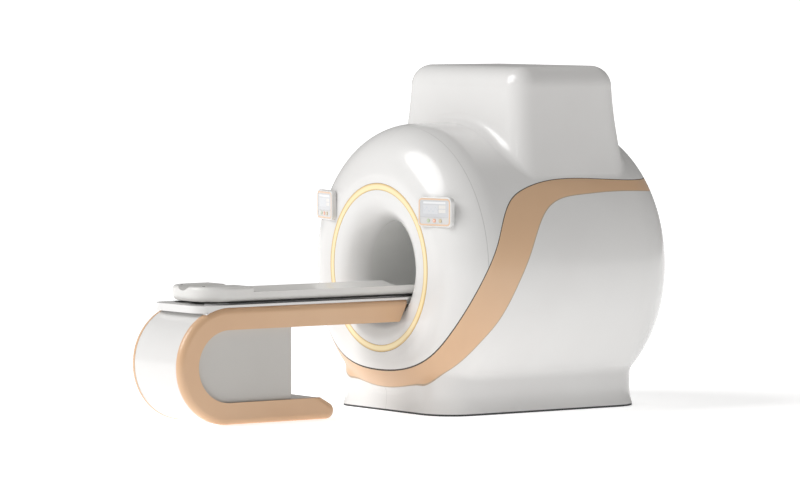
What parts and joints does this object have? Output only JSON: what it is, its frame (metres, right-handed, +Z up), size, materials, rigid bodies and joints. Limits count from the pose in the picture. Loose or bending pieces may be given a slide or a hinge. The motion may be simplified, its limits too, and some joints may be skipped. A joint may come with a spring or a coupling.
{
  "type": "small animal mri scanner",
  "caption": "Closed-bore MRI scanner for small animals: round gantry on a plinth with a turret, lit bore ring and C-shaped sliding-tray table.",
  "frame": {"origin": "on the floor, plumb under the centre of the bore", "axes": "+Y along the bore from the table to the rear, +X to the right seen from the table, +Z up"},
  "size_m": [1.72, 3.293, 2.07],
  "materials": {
    "white_gloss": "gloss gel coat",
    "peach_gloss": "gloss gel coat",
    "champagne": "satin",
    "screen": "clear glass",
    "key_green": "satin",
    "key_coral": "satin",
    "key_khaki": "satin",
    "seal_rubber": "matte",
    "diffuser": "lit opal",
    "grey_gloss": "gloss",
    "grey_satin": "satin paint",
    "black_plastic": "matte",
    "aluminium": "machined",
    "stainless": "brushed",
    "composite": "gel coat",
    "dark_metal": "powder coat"
  },
  "bodies": {
    "scanner": {"accent_band": "peach_gloss", "anchor_bolts": "aluminium", "band_lower_seal": "seal_rubber", "band_upper_seal": "seal_rubber", "base_plate": "dark_metal", "beam_channel": "white_gloss", "bearing_blocks": "aluminium", "bore_bridge": "composite", "bore_liner": "white_gloss", "cable_inlets": "dark_metal", "centre_seals": "seal_rubber", "cold_head": "aluminium", "cold_mass": "dark_metal", "drive_belt": "black_plastic", "drive_motor": "dark_metal", "front_cover": "white_gloss", "front_cover_seal": "seal_rubber", "front_funnel": "white_gloss", "gradient_coil": "composite", "guide_rails": "aluminium", "light_ring": "diffuser", "light_ring_carrier": "dark_metal", "magnet_cradle": "dark_metal", "panel_bezel_left": "champagne", "panel_bezel_right": "champagne", "panel_housing_left": "white_gloss", "panel_housing_right": "white_gloss", "panel_screen_glass_left": "screen", "panel_screen_glass_right": "screen", "rear_funnel": "white_gloss", "rear_panel": "white_gloss", "rear_panel_backing": "dark_metal", "service_neck": "stainless", "side_cover_left": "white_gloss", "side_cover_right": "white_gloss", "table_band_left": "peach_gloss", "table_band_right": "peach_gloss", "table_cabinet_case": "grey_satin", "table_deck": "white_gloss", "table_drum_shell": "white_gloss", "table_floor_plate": "dark_metal", "table_foot_cover": "white_gloss", "top_cover": "white_gloss", "transmit_coil": "composite", "vacuum_vessel": "stainless"},
    "tabletop": {"tray": "grey_gloss", "foot_pad": "grey_gloss", "carriage": "black_plastic", "belt_clamp": "aluminium"},
    "drive_pulley_body": {"drive_pulley": "stainless"},
    "idler_pulley_body": {"idler_pulley": "stainless"},
    "key_left_a_body": {"key_left_a": "key_green"},
    "key_left_b_body": {"key_left_b": "key_coral"},
    "key_left_c_body": {"key_left_c": "key_khaki"},
    "key_right_a_body": {"key_right_a": "key_green"},
    "key_right_b_body": {"key_right_b": "key_coral"},
    "key_right_c_body": {"key_right_c": "key_khaki"}
  },
  "joints": [
    {"name": "tabletop_travel", "type": "slide", "parent": "scanner", "child": "tabletop", "axis": [0, 1, 0], "range_m": [0, 1.05]},
    {"name": "drive_pulley_spin", "type": "hinge", "parent": "scanner", "child": "drive_pulley_body", "pos_m": [0, -2.045, 0.616], "axis": [-1, 0, 0], "range_deg": [-20, 2184]},
    {"name": "idler_pulley_spin", "type": "hinge", "parent": "scanner", "child": "idler_pulley_body", "pos_m": [0, -0.925, 0.616], "axis": [-1, 0, 0], "range_deg": [-20, 2184]},
    {"name": "key_left_a_press", "type": "slide", "parent": "scanner", "child": "key_left_a_body", "axis": [0.2419, 0.9703, 0], "range_m": [0, 0.002], "stiffness_N_per_m": 400, "springref_m": -0.0005},
    {"name": "key_left_b_press", "type": "slide", "parent": "scanner", "child": "key_left_b_body", "axis": [0.2419, 0.9703, 0], "range_m": [0, 0.002], "stiffness_N_per_m": 400, "springref_m": -0.0005},
    {"name": "key_left_c_press", "type": "slide", "parent": "scanner", "child": "key_left_c_body", "axis": [0.2419, 0.9703, 0], "range_m": [0, 0.002], "stiffness_N_per_m": 400, "springref_m": -0.0005},
    {"name": "key_right_a_press", "type": "slide", "parent": "scanner", "child": "key_right_a_body", "axis": [-0.2419, 0.9703, 0], "range_m": [0, 0.002], "stiffness_N_per_m": 400, "springref_m": -0.0005},
    {"name": "key_right_b_press", "type": "slide", "parent": "scanner", "child": "key_right_b_body", "axis": [-0.2419, 0.9703, 0], "range_m": [0, 0.002], "stiffness_N_per_m": 400, "springref_m": -0.0005},
    {"name": "key_right_c_press", "type": "slide", "parent": "scanner", "child": "key_right_c_body", "axis": [-0.2419, 0.9703, 0], "range_m": [0, 0.002], "stiffness_N_per_m": 400, "springref_m": -0.0005}
  ],
  "couplings": [
    {"joint": "drive_pulley_spin", "follows": "tabletop_travel", "rad_per_m": 35.971},
    {"joint": "idler_pulley_spin", "follows": "tabletop_travel", "rad_per_m": 35.971}
  ]
}
